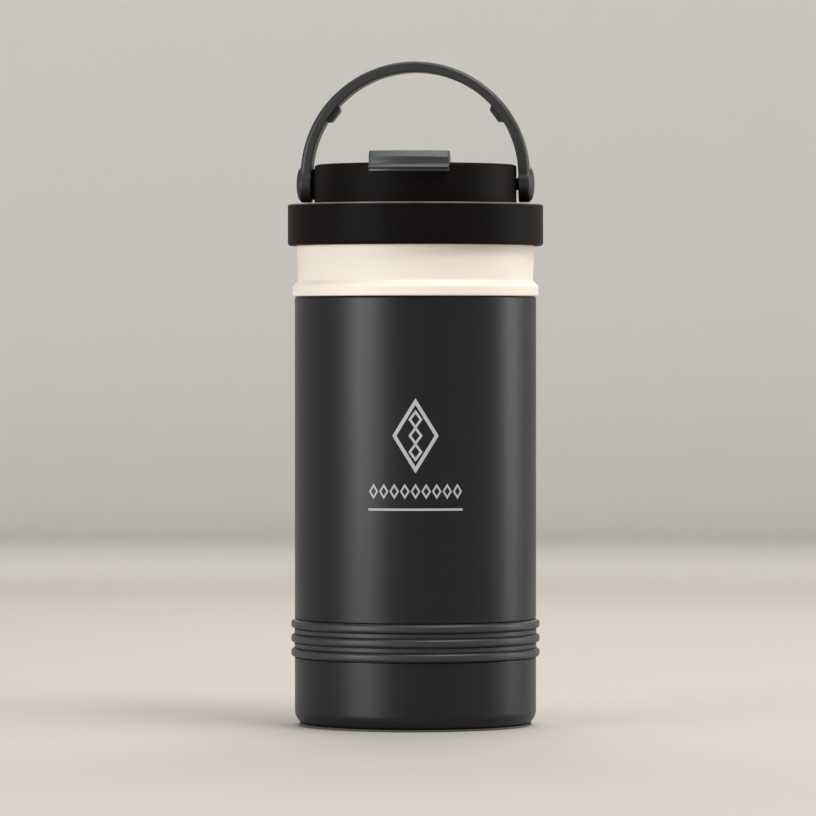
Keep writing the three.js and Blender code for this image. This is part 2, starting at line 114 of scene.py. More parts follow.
def fit(piece, body, slot, material, *nodes):
    """Gives a piece its finish and its body, and lets it stand for the CAD nodes it refines."""
    piece.data.materials.clear()
    piece.data.materials.append(material)
    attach(piece, body)
    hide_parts(*nodes)
    return piece


def place(tree, kind, inputs=None, **settings):
    """A node with its settings made and its inputs set or wired."""
    made = tree.nodes.new(kind)
    for key, value in settings.items():
        setattr(made, key, value)
    for key, value in (inputs or {}).items():
        if isinstance(value, bpy.types.NodeSocket):
            tree.links.new(value, made.inputs[key])
        else:
            made.inputs[key].default_value = value
    return made


def group(name, inputs, outputs):
    """An empty shader group with named inputs, each with its starting value, and named outputs."""
    tree = bpy.data.node_groups.new(name, "ShaderNodeTree")
    for label, (kind, value) in inputs.items():
        tree.interface.new_socket(label, in_out="INPUT", socket_type=kind).default_value = value
    for label, kind in outputs.items():
        tree.interface.new_socket(label, in_out="OUTPUT", socket_type=kind)
    return tree, tree.nodes.new("NodeGroupInput").outputs, tree.nodes.new("NodeGroupOutput").inputs


def handled_surface():
    """Fine grain with slow changes of colour and gloss, as any touched, moulded or coated surface has."""
    tree, given, put = group(
        "handled_surface",
        {
            "Colour": ("NodeSocketColor", (0.5, 0.5, 0.5, 1)),
            "Roughness": ("NodeSocketFloat", 0.5),
            "Grain Scale": ("NodeSocketFloat", 2500),
            "Mottle": ("NodeSocketFloat", 0.1),
            "Smudge": ("NodeSocketFloat", 0.1),
        },
        {"Colour": "NodeSocketColor", "Roughness": "NodeSocketFloat", "Height": "NodeSocketFloat"},
    )
    where = place(tree, "ShaderNodeTexCoord").outputs["Object"]
    grain = place(tree, "ShaderNodeTexNoise", {
        "Vector": where, "Scale": given["Grain Scale"], "Detail": 3, "Roughness": 0.6,
    }).outputs["Fac"]
    cloud = place(tree, "ShaderNodeTexNoise", {
        "Vector": where, "Scale": 38, "Detail": 4, "Roughness": 0.55, "Distortion": 0.6,
    }).outputs["Fac"]
    wiped = place(tree, "ShaderNodeMapping", {"Vector": where, "Scale": (1, 1, 0.16)}).outputs[0]
    streak = place(tree, "ShaderNodeTexNoise", {
        "Vector": wiped, "Scale": 190, "Detail": 3, "Roughness": 0.6,
    }).outputs["Fac"]
    lift = place(tree, "ShaderNodeMath", {0: cloud, 1: grain}, operation="ADD").outputs[0]
    lift = place(tree, "ShaderNodeMath", {0: lift, 1: 1.0}, operation="SUBTRACT").outputs[0]
    lift = place(tree, "ShaderNodeMath", {0: lift, 1: given["Mottle"], 2: 1.0}, operation="MULTIPLY_ADD")
    shade = place(tree, "ShaderNodeVectorMath", {0: given["Colour"]}, operation="SCALE")
    tree.links.new(lift.outputs[0], shade.inputs["Scale"])
    tree.links.new(shade.outputs["Vector"], put["Colour"])
    marks = place(tree, "ShaderNodeMath", {0: cloud, 1: streak}, operation="ADD").outputs[0]
    marks = place(tree, "ShaderNodeMath", {0: marks, 1: 1.0}, operation="SUBTRACT").outputs[0]
    rough = place(tree, "ShaderNodeMath", {
        0: marks, 1: given["Smudge"], 2: given["Roughness"],
    }, operation="MULTIPLY_ADD")
    tree.links.new(rough.outputs[0], put["Roughness"])
    tree.links.new(grain, put["Height"])
    return tree


HANDLED_SURFACE = handled_surface()


def linear(hex_colour):
    """A colour written as six hex digits, as linear light."""
    channels = [int(hex_colour[i:i + 2], 16) / 255 for i in (0, 2, 4)]
    return (*[c / 12.92 if c < 0.04045 else ((c + 0.055) / 1.055) ** 2.4 for c in channels], 1)


def finish(name, colour, roughness, grain=2500, depth=0.02, mottle=0.1, smudge=0.1, **sockets):
    """A Principled material over the handled surface; the other sockets are plain numbers or colours."""
    material = bpy.data.materials.new(name)
    material.use_nodes = True
    tree = material.node_tree
    shader = tree.nodes["Principled BSDF"]
    skin = place(tree, "ShaderNodeGroup", node_tree=HANDLED_SURFACE)
    for socket, value in (("Colour", linear(colour)), ("Roughness", roughness), ("Grain Scale", grain),
                          ("Mottle", mottle), ("Smudge", smudge)):
        skin.inputs[socket].default_value = value
    bump = place(tree, "ShaderNodeBump", {"Height": skin.outputs["Height"], "Distance": depth / 1000})
    tree.links.new(skin.outputs["Colour"], shader.inputs["Base Color"])
    tree.links.new(skin.outputs["Roughness"], shader.inputs["Roughness"])
    tree.links.new(bump.outputs["Normal"], shader.inputs["Normal"])
    for socket, value in sockets.items():
        shader.inputs[socket.replace("_", " ")].default_value = value
    return material


brushed_steel = finish("brushed_steel", "c9cacb", 0.3, grain=900, depth=0.004, smudge=0.25, Metallic=1.0)
STEEL = 0.6  # wall of the cup and of the shell
liner_low, liner_high = span("inner_liner")
mouth_r = span("lid_plug")[1].x + 0.7
rim_r = 35.1  # edge of the rolled mouth, flush with the shell's neck
cup_r = liner_high.x
cup_neck = 127.8  # where the cup starts to narrow
inner_liner = turned("steel_cup", rounded([
    (0, liner_low.z, 0),
    (cup_r, liner_low.z, 6),
    (cup_r, cup_neck + 0.2, 3),
    (mouth_r + STEEL, cup_neck + 5.2, 3),
    (mouth_r + STEEL, liner_high.z - STEEL, 1.2),
    (rim_r, liner_high.z - STEEL, 0.1),
    (rim_r, liner_high.z, 0.3),
    (mouth_r, liner_high.z, 1.7),
    (mouth_r, cup_neck + 5, 3),
    (cup_r - STEEL, cup_neck, 3),
    (cup_r - STEEL, liner_low.z + STEEL, 5.4),
    (0, liner_low.z + STEEL, 0),
]))
fit(inner_liner, "mug", "bare_steel", brushed_steel, "inner_liner")

# ---- Powder-coated shell --------------------------------------------------------------------------
# The outer tube is drawn steel with a rolled foot, a rolled groove for the band and a square shoulder
# under the neck. Its coat is a satin black powder: a low orange peel under a fine, even grain.
coat_black = finish("powder_coat_black", "0c0e12", 0.38, grain=3800, depth=0.012, mottle=0.1, smudge=0.05,
                    Specular_IOR_Level=0.32)
shell_low, shell_high = span("outer_shell")
band_low, band_high = span("grip_band")
shell_r = shell_high.x
shoulder_z = span("neck_collar")[0].z - 0.05
groove_r = shell_r - 1.0  # floor of the band's groove
neck_r = rim_r
FOOT_CORNER = 5.2  # radius of the foot's corner
FOOT_CORNER_H = 4.0  # where that corner starts above the shell's underside
foot_opening_r = 32.4  # edge of the turned-under foot


def foot_corner(radius, rise, steps=14):
    """The foot's round corner as outline points, from the turned-under edge up to the straight wall."""
    middle = complex(shell_r - FOOT_CORNER, shell_low.z + FOOT_CORNER_H)
    under = math.asin((FOOT_CORNER_H - rise) / radius)
    arc = [middle + radius * cmath.exp(1j * under * (k / steps - 1)) for k in range(steps + 1)]
    return [(p.real, p.imag, 0) for p in arc + [arc[-1] + 1j]]


outer_shell = turned("outer_shell_coated", rounded([
    (foot_opening_r, shell_low.z, 0.2),
    *foot_corner(FOOT_CORNER, 0.0),
    (shell_r, band_low.z - 0.25, 0.35),
    (groove_r, band_low.z - 0.1, 0.1),
    (groove_r, band_high.z + 0.1, 0.1),
    (shell_r, band_high.z + 0.25, 0.35),
    (shell_r, shoulder_z, 0.8),
    (neck_r, shoulder_z, 0.2),
    (neck_r, shell_high.z, 0.1),
    (neck_r - STEEL, shell_high.z, 0.1),
    (neck_r - STEEL, shoulder_z - STEEL, 0.3),
    (shell_r - STEEL, shoulder_z - STEEL, 0.4),
    (shell_r - STEEL, band_high.z + 0.8, 0.3),
    (groove_r - STEEL, band_high.z + 0.6, 0.3),
    (groove_r - STEEL, band_low.z - 0.6, 0.3),
    (shell_r - STEEL, band_low.z - 0.8, 0.3),
    *foot_corner(FOOT_CORNER - STEEL, STEEL)[::-1],
    (foot_opening_r, shell_low.z + STEEL, 0.2),
]), sides=200)
fit(outer_shell, "mug", "shell_black", coat_black, "outer_shell")

# ---- Printed ornament -----------------------------------------------------------------------------
# A plain grey pad print on the drinking side: a tall lozenge round three small ones, over a row of
# lozenges and a thin rule. It is a film of ink, so it is a sheet wrapped just above the coat.
ink_grey = finish("ink_grey", "a9aaab", 0.55, grain=5200, depth=0.004, mottle=0.12, smudge=0.08)
PRINT_YAW = math.radians(3.9)
INK_LIFT = 0.04
INK_STEP = 0.8  # widest stretch of ink left straight round the shell


def printed(shapes):
    """Ink strips wrapped on the shell, each a quadrilateral of (across, up) corners in millimetres."""
    verts, faces = [], []
    radius = shell_r + INK_LIFT
    for a, b, c, d in shapes:
        columns = max(1, math.ceil(abs(b[0] - a[0]) / INK_STEP))
        for k in range(columns + 1):
            share = k / columns
            for start, end in ((a, b), (d, c)):
                sideways = start[0] + (end[0] - start[0]) * share
                angle = PRINT_YAW + sideways / shell_r
                up = start[1] + (end[1] - start[1]) * share
                verts.append((radius * math.sin(angle), -radius * math.cos(angle), up))
        first = len(verts) - 2 * (columns + 1)
        for low in range(first, first + 2 * columns, 2):
            faces.append([low, low + 2, low + 3, low + 1])
    return verts, faces


def lozenge(x, z, half_w, half_h, stroke):
    """A lozenge outline as four strips."""
    inner_w = half_w - stroke * math.hypot(half_w, half_h) / half_h
    inner_h = half_h - stroke * math.hypot(half_w, half_h) / half_w
    sides = []
    for right in (-1, 1):
        for top in (-1, 1):
            outer_side, outer_tip = (x + right * half_w, z), (x, z + top * half_h)
            inner_side, inner_tip = (x + right * inner_w, z), (x, z + top * inner_h)
            quad = [outer_side, outer_tip, inner_tip, inner_side]
            sides.append(quad if right * top < 0 else [quad[1], quad[0], quad[3], quad[2]])
    return sides


def bar(x, z, half_w, half_h):
    """A level bar as one strip."""
    left, right, low, high = x - half_w, x + half_w, z - half_h, z + half_h
    return [(left, low), (right, low), (right, high), (left, high)]


PRINT_MID = 91.6  # height of the tall lozenge's middle
INNER_PITCH = 5.0
ROW_DROP = 17.2  # from the tall lozenge's middle to the row
ROW_PITCH = 3.3
RULE_DROP = 5.6  # from the row to the rule
marks = lozenge(0, PRINT_MID, 7.2, 11.6, 1.1)
for k in (-1, 0, 1):
    marks += lozenge(0, PRINT_MID + k * INNER_PITCH, 2.2, 3.0, 0.75)
row_z = PRINT_MID - ROW_DROP
for k in range(-4, 5):
    marks += lozenge(k * ROW_PITCH, row_z, 1.5, 2.4, 0.55)
marks.append(bar(0, row_z - RULE_DROP, 14.9, 0.35))
ornament = solid("printed_ornament", *printed(marks))
ornament.data.materials.append(ink_grey)
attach(ornament, "mug")

# ---- Base: welded plate, evacuation bead and getter -----------------------------------------------
# Stamped steel closes the foot; a fused bead seals the hole the air was drawn through, and a sintered
# pellet under the cup soaks up what gas is left. They are out of sight, so the CAD shapes stay.
bead_glass = finish("bead_glass", "7c7862", 0.25, grain=1500, depth=0.01)
getter_grain = finish("getter_grain", "6f6d6a", 0.75, grain=2600, depth=0.05, Metallic=0.6)
for node, material in (("base_plate", brushed_steel), ("vacuum_seal", bead_glass), ("getter", getter_grain)):
    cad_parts[node].data.materials.clear()
    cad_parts[node].data.materials.append(material)

# ---- Foot pad -------------------------------------------------------------------------------------
# A black silicone pad glued under the foot. Its rim stands just outside the rolled steel, and a ring of
# shallow moulded grooves underneath grips the table.
silicone_black = finish("silicone_black", "4a4a47", 0.62, grain=2100, depth=0.02, mottle=0.2, smudge=0.12)
pad_low, pad_high = span("foot_pad")
pad_r = pad_high.x
pad_rim = shell_low.z - 0.2  # the rim lies just under the rolled steel
pad_boss_r = foot_opening_r - 0.2  # the middle rises into the foot's opening
GROOVE_DEPTH = 0.5
GROOVE_HALF = 0.7  # at its mouth
GROOVE_FLOOR_HALF = 0.4
sole = [(0, pad_low.z, 0)]
for ring_r in (14.0, 20.0, 26.0):
    sole += [
        (ring_r - GROOVE_HALF, pad_low.z, 0.15),
        (ring_r - GROOVE_FLOOR_HALF, pad_low.z + GROOVE_DEPTH, 0.1),
        (ring_r + GROOVE_FLOOR_HALF, pad_low.z + GROOVE_DEPTH, 0.1),
        (ring_r + GROOVE_HALF, pad_low.z, 0.15),
    ]
foot_pad = turned("foot_pad_moulded", rounded(sole + [
    (pad_r, pad_low.z, 0.2),
    (pad_r, pad_rim, 0.15),
    (pad_boss_r, pad_rim, 0.1),
    (pad_boss_r, pad_high.z, 0.2),
    (0, pad_high.z, 0),
]))
fit(foot_pad, "mug", "black_silicone", silicone_black, "foot_pad")

# ---- Grip band ------------------------------------------------------------------------------------
# A moulded silicone ring stretched into the groove: three broad ribs with softly rounded shoulders and
# flat valleys level with the shell, a little paler and duller than the coat.
silicone_band = finish("silicone_band", "262728", 0.44, grain=1900, depth=0.012, mottle=0.12, smudge=0.1)
RIBS = 3
RIB_PITCH = 4.46
RIB_HALF = 1.3
CREASE = 0.3  # depth of the moulded line along each side of a rib
valley_r = shell_r + 0.1
rib_r = band_high.x
band_mid = (band_low.z + band_high.z) / 2
band_bore = groove_r + 0.05
ribs = [(band_bore, band_low.z, 0.1), (valley_r - CREASE, band_low.z, 0.1)]
for k in range(RIBS):
    middle = band_mid + (k - (RIBS - 1) / 2) * RIB_PITCH
    for side in (-1, 1):
        flank = [
            (valley_r - CREASE, middle + side * (RIB_HALF + 0.12), 0.04),
            (valley_r, middle + side * (RIB_HALF - 0.02), 0.1),
            (rib_r, middle + side * (RIB_HALF - 0.1), 0.85),
        ]
        if 0 <= k + side < RIBS:  # a valley leads to the next rib
            flank.insert(0, (valley_r, middle + side * (RIB_HALF + 0.35), 0.15))
        ribs += flank[::-side]
ribs += [(valley_r - CREASE, band_high.z, 0.1), (band_bore, band_high.z, 0.1)]
grip_band = turned("grip_band_ribbed", rounded(ribs, steps=5), sides=200)
fit(grip_band, "mug", "black_silicone", silicone_band, "grip_band")

# ---- Cream neck -----------------------------------------------------------------------------------
# An injection-moulded collar bonded over the steel neck. A rounded flange sits on the shoulder, the
# wall flares slightly upwards, and two thread starts run round the stepped-in top.
cream_plastic = finish("cream_plastic", "e8ddd0", 0.55, grain=1600, depth=0.006, mottle=0.025, smudge=0.1,
                       Subsurface_Weight=0.12, Subsurface_Radius=(0.004, 0.003, 0.002))
THREAD_LEAD = 8.0
THREAD_HEIGHT = 1.0
THREAD_HALF = 0.7
THREAD_Z = 153.7  # height of the collar's first ridge at angle 0


def thread(name, root_r, outward, first, last, zero_z):
    """Two helical ridges half a turn apart, each fading out at both ends."""
    verts, faces = [], []
    section = [(-0.3, -THREAD_HALF), (0.55, -0.62), (0.9, -0.45), (1.0, -0.2),
               (1.0, 0.2), (0.9, 0.45), (0.55, 0.62), (-0.3, THREAD_HALF)]
    rows = math.ceil((last - first) / 3)
    for start in (0, 180):
        base = len(verts)
        for k in range(rows + 1):
            degrees = first + (last - first) * k / rows
            fade = min(1, (degrees - first) / 14 + 0.02, (last - degrees) / 14 + 0.02)
            angle = math.radians(degrees + start)
            for reach, height in section:
                radius = root_r + outward * (reach * THREAD_HEIGHT * fade if reach > 0 else reach)
                z = zero_z + height + THREAD_LEAD * degrees / 360
                verts.append((radius * math.cos(angle), radius * math.sin(angle), z))
        size = len(section)
        for k in range(rows):
            for s in range(size):
                low, high = base + k * size, base + (k + 1) * size
                quad = [low + s, high + s, high + (s + 1) % size, low + (s + 1) % size]
                faces.append(quad if outward > 0 else quad[::-1])
        ends = [list(range(base, base + size)), list(range(len(verts) - size, len(verts)))[::-1]]
        faces += ends if outward > 0 else [end[::-1] for end in ends]
    return solid(name, verts, faces)


def join(piece, *others):
    """Moves the other pieces' faces into the first."""
    with bpy.context.temp_override(active_object=piece, selected_editable_objects=[piece, *others]):
        bpy.ops.object.join()
    return piece


collar_low, collar_high = span("neck_collar")
flange_r = collar_high.x
collar_back = neck_r + 0.1
thread_r = 36.6  # root of the thread
COLLAR_WAIST = 36.93  # radius just above the flange, from where the wall flares
COLLAR_BROW = 37.5  # radius where it steps in to the thread
collar_wall = turned("neck_collar_moulded", rounded([
    (collar_back, collar_low.z, 0.1),
    (flange_r, collar_low.z, 0.45),
    (flange_r, 138.0, 0.9),
    (37.3, 139.35, 0.5),
    (COLLAR_WAIST, 139.7, 0.4),
    (COLLAR_BROW, 151.9, 0.35),
    (thread_r, 152.3, 0.2),
    (thread_r, collar_high.z, 0.5),
    (collar_back, collar_high.z, 0.2),
]), sides=200)
neck_collar = join(collar_wall, thread("collar_thread", thread_r, 1, 0, 192, THREAD_Z))
fit(neck_collar, "mug", "cream_plastic", cream_plastic, "neck_collar")

# ---- Lid gasket -----------------------------------------------------------------------------------
# A translucent silicone ring in the lid's roof that is pressed on the steel mouth. Two fine lips on
# its underside do the sealing.
silicone_clear = finish("silicone_clear", "9b9c96", 0.5, grain=1500, depth=0.01, Subsurface_Weight=0.3,
                        Subsurface_Radius=(0.003, 0.003, 0.003))
ring_low, ring_high = span("lid_gasket")
ring_in = 32.2
lip_root = ring_low.z + 0.3
LIP_HALF = 0.35
lips = [(ring_in, lip_root, 0.1)]
for lip_r in (33.2, 34.6):
    lips += [(lip_r - LIP_HALF, lip_root, 0.1), (lip_r, ring_low.z, 0.12), (lip_r + LIP_HALF, lip_root, 0.1)]
lid_gasket = turned("lid_gasket_lipped", rounded(lips + [
    (ring_high.x, lip_root, 0.2),
    (ring_high.x, ring_high.z, 0.3),
    (ring_in, ring_high.z, 0.3),
], steps=3))
fit(lid_gasket, "gasket", "clear_silicone", silicone_clear, "lid_gasket")

# ---- Lid shell ------------------------------------------------------------------------------------
# The skirt and the drum are one near-black moulding with a fine spark texture. The step between them
# has a crisp small radius with a paler ring painted along it as a highlight, and the inner thread runs round
# inside the skirt.
lid_black = finish("lid_black", "090605", 0.55, grain=3000, depth=0.02, mottle=0.25, smudge=0.08,
                   Specular_IOR_Level=0.07, Sheen_Weight=0.05, Sheen_Roughness=0.35,
                   Sheen_Tint=linear("d8b8a8"))
lid_low, lid_high = span("lid_shell")
skirt_r = lid_high.x
skirt_bore = 38.0
skirt_top = 163.8
roof_z = 161.7  # underside of the roof between skirt and drum
drum_r = 31.8
drum_bore = 29.8
ledge_z = 173.9  # the deck rests on this ledge
ledge_r = 27.6
lid_wall = turned("lid_shell_moulded", rounded([
    (skirt_bore, lid_low.z, 0.3),
    (skirt_r, lid_low.z, 1.0),
    (skirt_r, skirt_top, 0.55),
    (drum_r, skirt_top, 0.2),
    (drum_r, lid_high.z, 0.9),
    (drum_bore, lid_high.z, 0.25),
    (drum_bore, ledge_z, 0.1),
    (ledge_r, ledge_z, 0.2),
    (ledge_r, ledge_z - 1, 0.3),
    (drum_bore, ledge_z - 2.4, 0.3),
    (drum_bore, roof_z, 0.2),
    (skirt_bore, roof_z, 0.4),
]), sides=200)
pivot_z = sum(corner.z for corner in span("pivot_washer")) / 2
SIDES = {"left": -1, "right": 1}


def painted_highlight_ring():
    """A mask for a painted highlight along one edge of a turned piece, a ring given by its radius and height.
    """
    tree, given, put = group(
        "painted_highlight_ring",
        {
            "Radius": ("NodeSocketFloat", 0.04),
            "Height": ("NodeSocketFloat", 0.16),
            "Reach": ("NodeSocketFloat", 0.0005),
        },
        {"Mask": "NodeSocketFloat"},
    )
    where = place(tree, "ShaderNodeTexCoord").outputs["Object"]
    axes = place(tree, "ShaderNodeSeparateXYZ", {"Vector": where}).outputs
    level = place(tree, "ShaderNodeCombineXYZ", {"X": axes["X"], "Y": axes["Y"]}).outputs[0]
    radius = place(tree, "ShaderNodeVectorMath", {0: level}, operation="LENGTH").outputs["Value"]
    ring = place(tree, "ShaderNodeCombineXYZ", {"X": given["Radius"], "Y": given["Height"]}).outputs[0]
    spot = place(tree, "ShaderNodeCombineXYZ", {"X": radius, "Y": axes["Z"]}).outputs[0]
    away = place(tree, "ShaderNodeVectorMath", {0: spot, 1: ring}, operation="DISTANCE").outputs["Value"]
    near = place(tree, "ShaderNodeMapRange", {
        "Value": away, "From Min": 0.0, "From Max": given["Reach"], "To Min": 1.0, "To Max": 0.0,
    }, interpolation_type="SMOOTHSTEP").outputs[0]
    # Noise breaks the painted highlight into patches.
    highlight_breakup = place(tree, "ShaderNodeTexNoise", {"Vector": where, "Scale": 110, "Detail": 5}).outputs["Fac"]
    highlight_patches = place(tree, "ShaderNodeMath", {0: highlight_breakup, 1: 1.3, 2: 0.1}, operation="MULTIPLY_ADD").outputs[0]
    mask = place(tree, "ShaderNodeMath", {0: near, 1: highlight_patches}, operation="MULTIPLY").outputs[0]
    tree.links.new(mask, put["Mask"])
    return tree


PAINTED_HIGHLIGHT_RING = painted_highlight_ring()


def paint_highlight_ring(material, colour, radius, height, reach):
    """Paints a highlight along a ring by mixing a material towards a colour there, in millimetres."""
    tree = material.node_tree
    ring = place(tree, "ShaderNodeGroup", {
        "Radius": radius / 1000, "Height": height / 1000, "Reach": reach / 1000,
    }, node_tree=PAINTED_HIGHLIGHT_RING)
    base = tree.nodes["Principled BSDF"].inputs["Base Color"]
    blend = place(tree, "ShaderNodeMix", data_type="RGBA")
    tree.links.new(ring.outputs["Mask"], blend.inputs["Factor"])
    tree.links.new(base.links[0].from_socket, blend.inputs[6])
    blend.inputs[7].default_value = linear(colour)
    tree.links.new(blend.outputs[2], base)


# A painted highlight: a pale line of colour along the skirt's top edge, broken up by noise.
paint_highlight_ring(lid_black, "847c76", skirt_r - 0.2, skirt_top - 0.12, 0.56)


def across(side, z=pivot_z, y=0.0):
    """Turns a piece's axis from Z to X, pointing out of that side, at a height."""
    return Matrix.Translation((0, y, z)) @ Matrix.Rotation(side * math.pi / 2, 4, "Y")


BOSS_R = 3.4
BOSS_IN = 26  # where the boss starts inside the drum
BOSS_OUT = 30.4  # where it ends inside the drum's wall
bosses = [
    turned(f"boss_{label}", rounded([
        (0, BOSS_IN, 0), (BOSS_R, BOSS_IN, 0.4), (BOSS_R, BOSS_OUT, 0), (0, BOSS_OUT, 0),
    ]), 48, across(side))
    for label, side in SIDES.items()
]
inner_thread = thread("skirt_thread", skirt_bore, -1, -112, 175, THREAD_Z + THREAD_LEAD / 4)
lid_shell = join(lid_wall, inner_thread, *bosses)
fit(lid_shell, "lid", "lid_black", lid_black, "lid_shell")

# ---- Lid plug and deck ----------------------------------------------------------------------------
# The plug is a welded-in cup that keeps the heat in, pierced by the drink and vent channels. The deck
# closes the drum on top and carries the flap's two ears. Both keep their CAD shape, with eased edges.
for node, width in (("lid_plug", 0.35), ("lid_deck", 0.2)):
    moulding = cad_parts[node]
    moulding.data.materials.clear()
    moulding.data.materials.append(lid_black)
    ease = moulding.modifiers.new("eased_edges", "BEVEL")
    ease.width = width / 1000
    ease.segments = 3
    ease.limit_method = "ANGLE"
    ease.angle_limit = math.radians(50)

# ---- Pivot pins and washers -----------------------------------------------------------------------
# Steel pins are pressed into bosses in the drum's wall. A small black washer spaces the right disc off
# the drum; on the left a broad toothed ring clicks against the disc, so that the bail stays up.
PIN_R = 1.2
PIN_IN = 27
PIN_HEAD_R = 2.9
PIN_HEAD_IN = 35.15
PIN_HEAD_OUT = 36.1
for label, side in SIDES.items():
    pin = turned(f"pivot_pin_{label}_turned", rounded([
        (0, PIN_IN, 0), (PIN_R, PIN_IN, 0.3), (PIN_R, PIN_HEAD_IN, 0.05),
        (PIN_HEAD_R, PIN_HEAD_IN, 0.1), (PIN_HEAD_R, PIN_HEAD_OUT, 0.3), (0, PIN_HEAD_OUT, 0),
    ], steps=3), 48, across(side))
    fit(pin, "lid", "bare_steel", brushed_steel, f"pivot_pin_{label}")

TEETH = 24
TOOTH_DEPTH = 0.55
WASHER_BORE = 1.3
WASHER_IN = 31.85  # just off the drum
WASHER_OUT = 32.42  # just off the bail's disc
detent_r = span("detent_washer")[1].y
for node, side, ring_r in (("detent_washer", -1, detent_r), ("pivot_washer", 1, 1.95)):
    ring = turned(f"{node}_moulded", rounded([
        (WASHER_BORE, WASHER_IN, 0.05), (ring_r, WASHER_IN, 0.1),
        (ring_r, WASHER_OUT, 0.1), (WASHER_BORE, WASHER_OUT, 0.05),
    ], steps=3), TEETH * 6, across(side))
    fit(ring, "lid", "lid_black", lid_black, node)
    if ring_r == detent_r:
        for vertex in ring.data.vertices:
            spoke = Vector((vertex.co.y, vertex.co.z - pivot_z / 1000))
            if spoke.length > (ring_r - 0.2) / 1000:
                dip = (0.5 - 0.5 * math.cos(math.atan2(spoke.y, spoke.x) * TEETH)) * TOOTH_DEPTH / 1000
                vertex.co.y -= dip * spoke.x / spoke.length
                vertex.co.z -= dip * spoke.y / spoke.length

# ---- Bail handle ----------------------------------------------------------------------------------
# One charcoal moulding: a flat strap bent to an arch, with a small lug on the inside at each shoulder
# and a domed disc at each foot. Its outer edges are well rounded and its inner edges are crisper.
bail_charcoal = finish("bail_charcoal", "1d1e20", 0.45, grain=2400, depth=0.02, mottle=0.15, smudge=0.1)
bail_high = span("handle_bail")[1]
arch_z = pivot_z + 2.6  # the arch's centre
arch_out = bail_high.z - arch_z
arch_in = arch_out - 3.4
bail_half = 5.0  # half the strap's width
disc_r = bail_high.y
disc_top = bail_high.x


def swept(name, section, path):
    """A closed section of (outward, along y) carried along (x, z, outward angle) stations."""
    verts, faces = [], []
    for x, z, angle in path:
        verts += [(x + p.real * math.cos(angle), -p.imag, z + p.real * math.sin(angle)) for p in section]
    size = len(section)
    for k in range(len(path) - 1):
        for s in range(size):
            low, high = k * size, (k + 1) * size
            faces.append([low + s, low + (s + 1) % size, high + (s + 1) % size, high + s])
    faces += [list(range(size))[::-1], list(range(len(verts) - size, len(verts)))]
    return solid(name, verts, faces)


def merge(piece, *others):
    """Joins overlapping closed pieces into one skin."""
    for other in others:
        union = piece.modifiers.new("union", "BOOLEAN")
        union.operation = "UNION"
        union.solver = "EXACT"
        union.object = other
    bpy.context.view_layer.update()
    evaluated = piece.evaluated_get(bpy.context.evaluated_depsgraph_get())
    mesh = bpy.data.meshes.new_from_object(evaluated)
    piece.modifiers.clear()
    piece.data = mesh
    for other in others:
        bpy.data.objects.remove(other)
    mesh.polygons.foreach_set("use_smooth", [True] * len(mesh.polygons))
    mesh.set_sharp_from_angle(angle=SHARP_EDGE)
    return piece


strap_section = rounded([
    (arch_in, -bail_half, 0.5), (arch_out, -bail_half, 1.3),
    (arch_out, bail_half, 1.3), (arch_in, bail_half, 0.5),
])
strap_section = [p - arch_in for p in strap_section]
stations = [(arch_in, pivot_z, 0.0)]
stations += [
    (arch_in * math.cos(a), arch_z + arch_in * math.sin(a), a)
    for a in (math.pi * k / 72 for k in range(73))
]
stations.append((-arch_in, pivot_z, math.pi))
strap = swept("handle_bail_moulded", strap_section, stations)

LUG_ANGLE = math.radians(37)
LUG_HALF = math.radians(4.3)
LUG_RISE = 1.4
LUG_WIDE = 3.4  # half its width
lug_section = rounded([
    (-LUG_RISE, -LUG_WIDE, 0.35), (0.8, -LUG_WIDE, 0), (0.8, LUG_WIDE, 0), (-LUG_RISE, LUG_WIDE, 0.35),
], steps=4)
lugs = []
for middle in (LUG_ANGLE, math.pi - LUG_ANGLE):
    run = [(-1.25, 0.25), (-1.0, 0.85), (-0.9, 1.0), (0.9, 1.0), (1.0, 0.85), (1.25, 0.25)]
    rows = []
    for share, rise in run:
        angle = middle + share * LUG_HALF
        reach = arch_in + LUG_RISE * (1 - rise)
        rows.append((reach * math.cos(angle), arch_z + reach * math.sin(angle), angle))
    lugs.append(swept("lug", lug_section, rows))

DISC_IN = 32.6
DISC_SHOULDER = 35.9
POCKET_FLOOR = 36.2  # floor of the hollow for the cap
discs = [
    turned(f"disc_{label}", rounded([
        (0, DISC_IN, 0), (disc_r, DISC_IN, 0.35), (disc_r, DISC_SHOULDER, 0.8), (4.6, 36.9, 0.8),
        (3.35, 37.2, 0.15), (3.3, POCKET_FLOOR, 0.1), (0, POCKET_FLOOR, 0),
    ]), 96, across(side))
    for label, side in SIDES.items()
]
handle_bail = merge(strap, *lugs, *discs)
fit(handle_bail, "handle", "bail_charcoal", bail_charcoal, "handle_bail")

# ---- Pivot caps -----------------------------------------------------------------------------------
# Domed plugs of the bail's charcoal plastic, pressed over the pin heads and flush with the discs' domes.
# They swing with the bail.
CAP_R = 3.2
CAP_IN = 36.4
CAP_RIM = 37.3
for label, side in SIDES.items():
    cap = turned(f"pivot_cap_{label}_domed", rounded([
        (0, CAP_IN, 0), (CAP_R, CAP_IN, 0.15), (CAP_R, CAP_RIM, 0.25), (0, disc_top + 0.35, 0),
    ]), 64, across(side))
    fit(cap, "handle", "bail_charcoal", bail_charcoal, f"pivot_cap_{label}")

